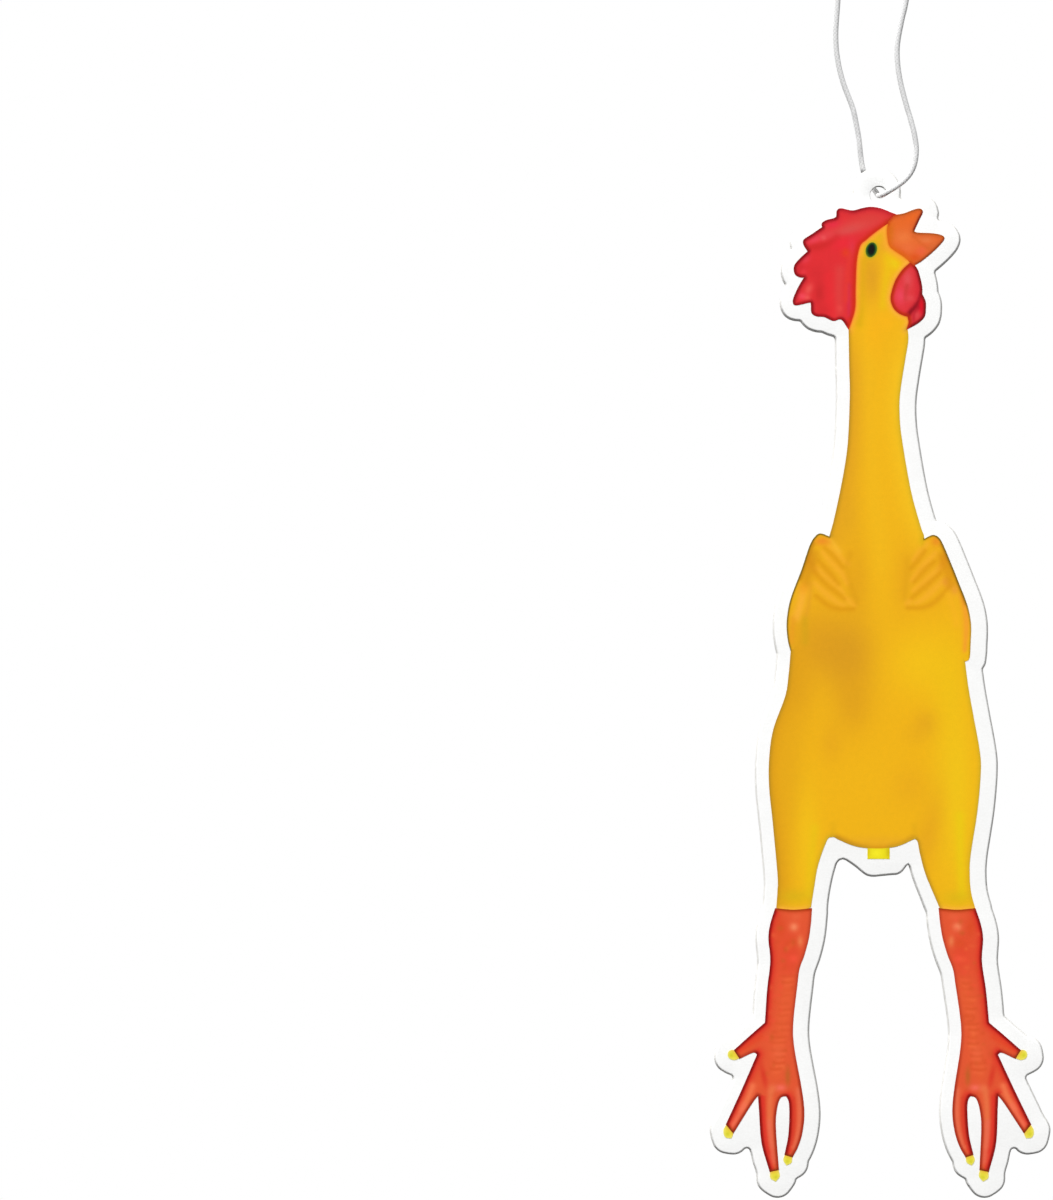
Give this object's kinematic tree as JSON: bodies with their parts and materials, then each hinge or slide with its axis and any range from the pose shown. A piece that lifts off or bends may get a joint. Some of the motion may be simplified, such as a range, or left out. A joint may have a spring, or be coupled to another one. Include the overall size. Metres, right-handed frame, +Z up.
{
  "type": "hanging air freshener card",
  "caption": "Flat die-cut pulp board card in the shape of a rubber chicken, printed on both faces with a white margin, hung by an elastic cord loop through a round tab.",
  "frame": {"origin": "hang point inside the top of the cord loop, just under its knot", "axes": "+Z up, +X to the right of the printed front, +Y away from the printed front"},
  "size_m": [0.0569, 0.0048, 0.2506],
  "materials": {
    "pulp": "matte",
    "white_paper": "matte",
    "skin_ink": "satin",
    "wings_ink": "satin",
    "comb_ink": "satin",
    "beak_ink": "satin",
    "wattle_ink": "satin",
    "eye_ink": "satin",
    "vent_ink": "satin",
    "legs_ink": "satin",
    "claws_ink": "satin",
    "elastic_cord": "matte"
  },
  "bodies": {
    "knot": {"cord_knot": "elastic_cord"},
    "strands": {"cord_strands": "elastic_cord"},
    "bight": {"cord_bight": "elastic_cord"},
    "card": {"pulp_core": "pulp", "front_face": "white_paper", "back_face": "white_paper", "front_skin": "skin_ink", "front_wings": "wings_ink", "front_comb": "comb_ink", "front_beak": "beak_ink", "front_wattle": "wattle_ink", "front_eye": "eye_ink", "front_vent": "vent_ink", "front_legs": "legs_ink", "front_claws": "claws_ink", "back_skin": "skin_ink", "back_wings": "wings_ink", "back_comb": "comb_ink", "back_beak": "beak_ink", "back_wattle": "wattle_ink", "back_eye": "eye_ink", "back_vent": "vent_ink", "back_legs": "legs_ink", "back_claws": "claws_ink"}
  },
  "joints": [
    {"name": "twist", "type": "hinge", "parent": "knot", "child": "strands", "pos_m": [0, 0, 0], "axis": [0, 0, 1], "range_deg": [-180, 180]},
    {"name": "tilt", "type": "hinge", "parent": "strands", "child": "bight", "pos_m": [0, 0, -0.061], "axis": [1, 0, 0], "range_deg": [-35, 35]},
    {"name": "swing", "type": "hinge", "parent": "bight", "child": "card", "pos_m": [0.0003, 0, -0.0745], "axis": [0, 1, 0], "range_deg": [-60, 60]}
  ]
}
